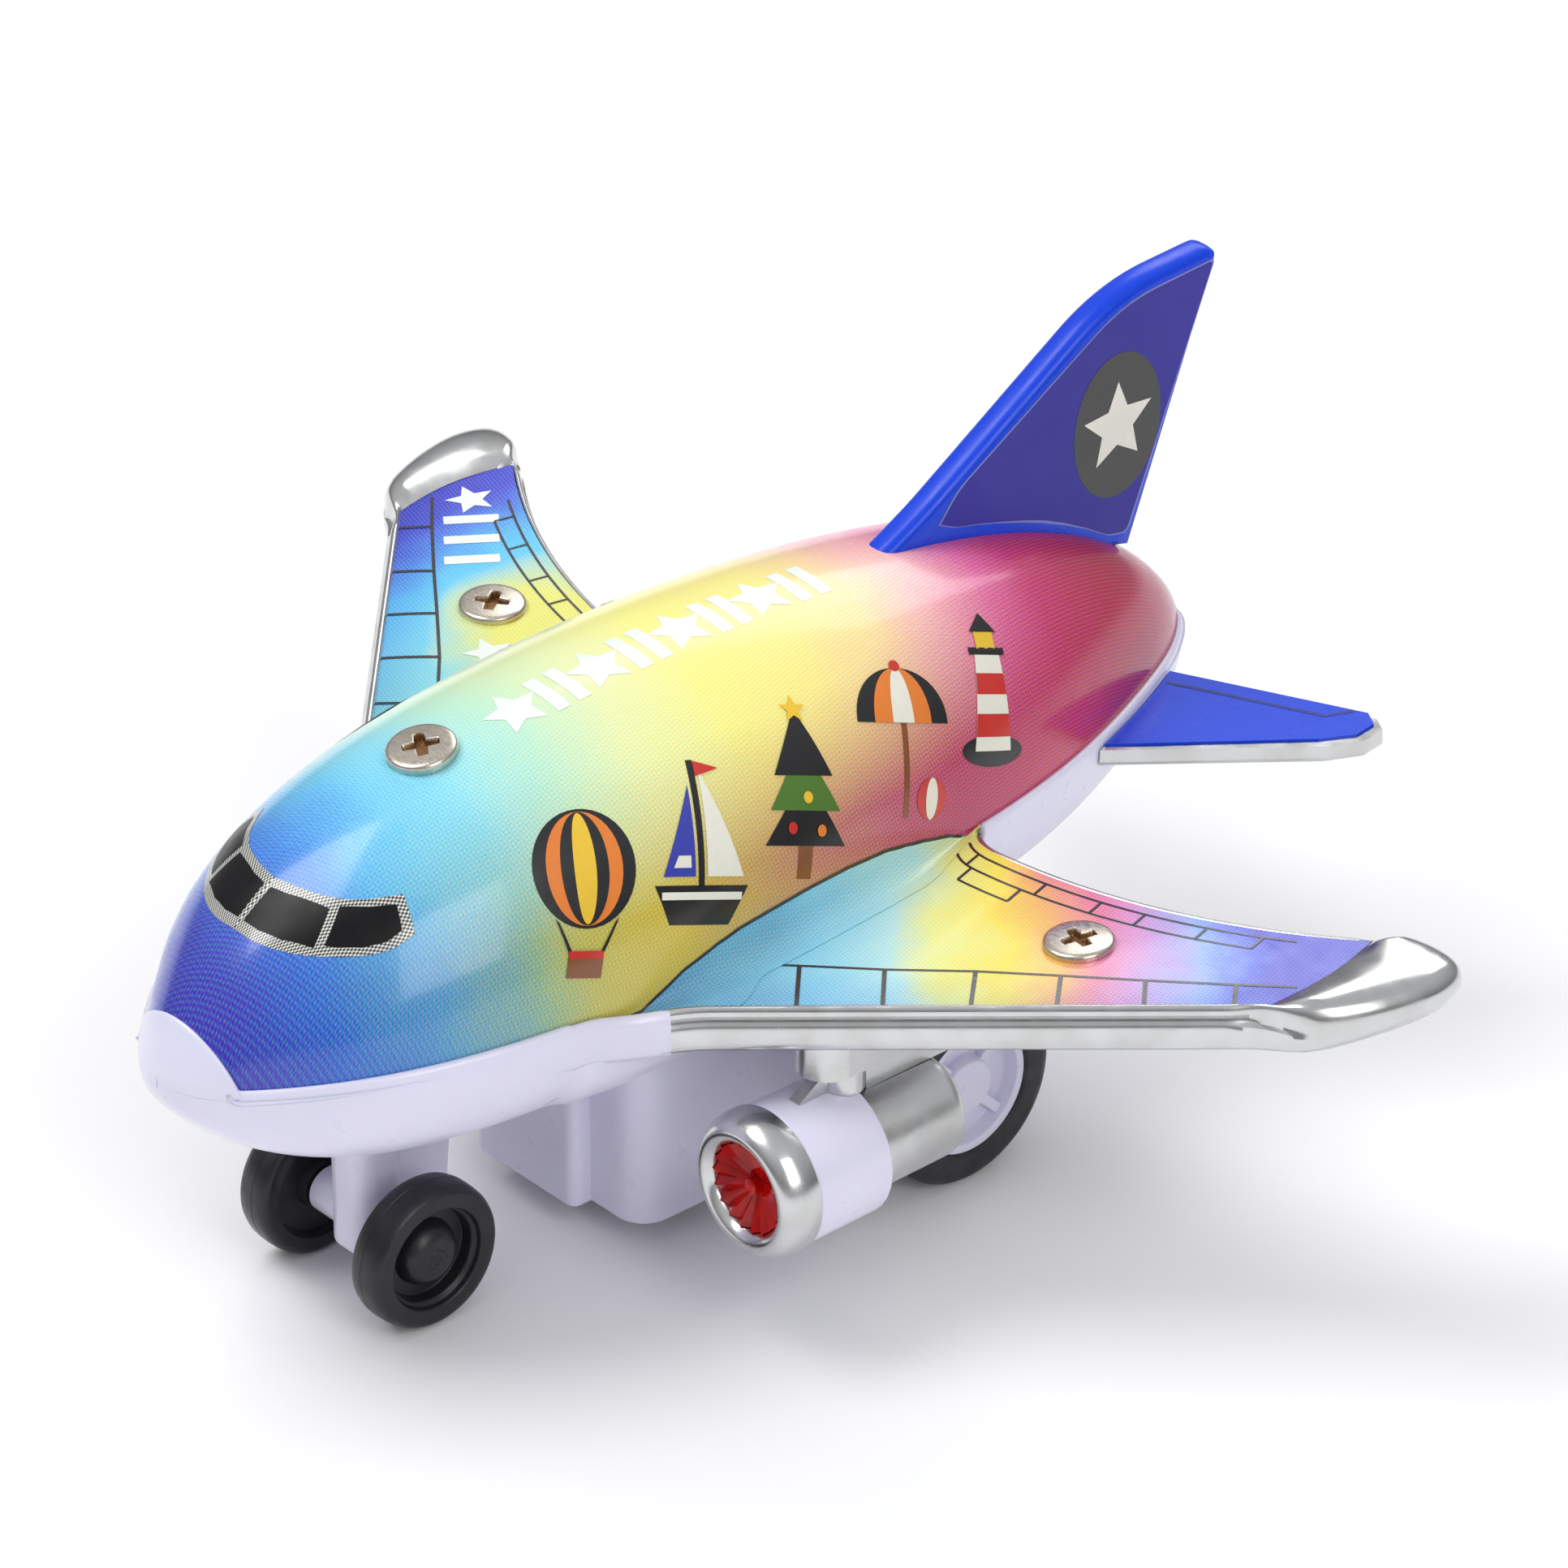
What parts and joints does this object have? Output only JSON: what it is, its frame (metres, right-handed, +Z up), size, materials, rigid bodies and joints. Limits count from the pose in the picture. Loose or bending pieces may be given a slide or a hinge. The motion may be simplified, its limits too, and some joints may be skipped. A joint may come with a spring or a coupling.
{
  "type": "toy airplane",
  "caption": "Toy jet airliner with a printed tinplate top, moulded hull, silver-rimmed wings, lit engines and a friction drive with a flywheel.",
  "frame": {"origin": "on the ground under the middle of the airplane's length and span", "axes": "+Z up, the nose points to -Y, the port wing to +X"},
  "size_m": [0.1436, 0.1353, 0.0763],
  "materials": {
    "printed_tin": "gloss",
    "hull_plastic": "gloss",
    "screw_steel": "satin",
    "cell_steel": "satin",
    "contact_metal": "satin",
    "board": "matte",
    "speaker": "matte",
    "switch_metal": "satin",
    "blue_plastic": "gloss",
    "silver_plating": "satin",
    "red_lens": "gloss",
    "led_clear": "gloss",
    "sticker": "satin",
    "motor_metal": "satin",
    "axle_steel": "satin",
    "nose_wheel": "satin",
    "main_tyre": "satin",
    "gear_plastic": "satin",
    "gear_brass": "satin",
    "flywheel_metal": "satin",
    "switch_plastic": "satin"
  },
  "bodies": {
    "airframe": {"tin_body_skin": "printed_tin", "lower_hull": "hull_plastic", "belly_housing": "hull_plastic", "battery_door": "hull_plastic", "nose_gear_leg": "hull_plastic", "door_screw": "screw_steel", "skin_screws": "screw_steel", "button_cells": "cell_steel", "battery_contacts": "contact_metal", "circuit_board": "board", "speaker": "speaker", "switch_body": "switch_metal", "motor_pillars": "screw_steel", "tail_fin": "blue_plastic", "port_wing_frame": "silver_plating", "port_engine_cowl": "silver_plating", "port_engine_lens": "red_lens", "port_led": "led_clear", "port_engine_barrel": "hull_plastic", "port_tailpipe": "silver_plating", "port_pylon": "silver_plating", "port_fin_sticker": "sticker", "port_tailplane_frame": "silver_plating", "port_tailplane_skin": "blue_plastic", "port_motor_plate": "motor_metal", "starboard_wing_frame": "silver_plating", "starboard_engine_cowl": "silver_plating", "starboard_engine_lens": "red_lens", "starboard_led": "led_clear", "starboard_engine_barrel": "hull_plastic", "starboard_tailpipe": "silver_plating", "starboard_pylon": "silver_plating", "starboard_fin_sticker": "sticker", "starboard_tailplane_frame": "silver_plating", "starboard_tailplane_skin": "blue_plastic", "starboard_motor_plate": "motor_metal"},
    "nose_wheels": {"nose_axle": "axle_steel", "port_nose_wheel": "nose_wheel", "starboard_nose_wheel": "nose_wheel"},
    "main_wheels": {"main_axle": "axle_steel", "port_main_hub": "hull_plastic", "starboard_main_hub": "hull_plastic", "port_main_tyre": "main_tyre", "starboard_main_tyre": "main_tyre", "axle_gear": "gear_plastic"},
    "idler": {"idler_gear": "gear_plastic", "idler_shaft": "axle_steel"},
    "flywheel": {"flywheel": "flywheel_metal", "flywheel_pinion": "gear_brass", "flywheel_shaft": "axle_steel"},
    "switch": {"switch_slider": "switch_plastic"}
  },
  "joints": [
    {"name": "nose_wheel_spin", "type": "hinge", "parent": "airframe", "child": "nose_wheels", "pos_m": [0, -0.0426, 0.0076], "axis": [1, 0, 0], "continuous": true},
    {"name": "main_wheel_spin", "type": "hinge", "parent": "airframe", "child": "main_wheels", "pos_m": [0, 0.0125, 0.0104], "axis": [1, 0, 0], "continuous": true},
    {"name": "idler_spin", "type": "hinge", "parent": "airframe", "child": "idler", "pos_m": [0, 0.00648, 0.01582], "axis": [1, 0, 0], "continuous": true},
    {"name": "flywheel_spin", "type": "hinge", "parent": "airframe", "child": "flywheel", "pos_m": [0, 0.0007, 0.02271], "axis": [1, 0, 0], "continuous": true},
    {"name": "switch_slide", "type": "slide", "parent": "airframe", "child": "switch", "axis": [0, 1, 0], "range_m": [-0.0015, 0.0015]}
  ],
  "couplings": [
    {"joint": "idler_spin", "follows": "main_wheel_spin", "ratio": -1.4545},
    {"joint": "flywheel_spin", "follows": "main_wheel_spin", "ratio": 2.9091}
  ]
}
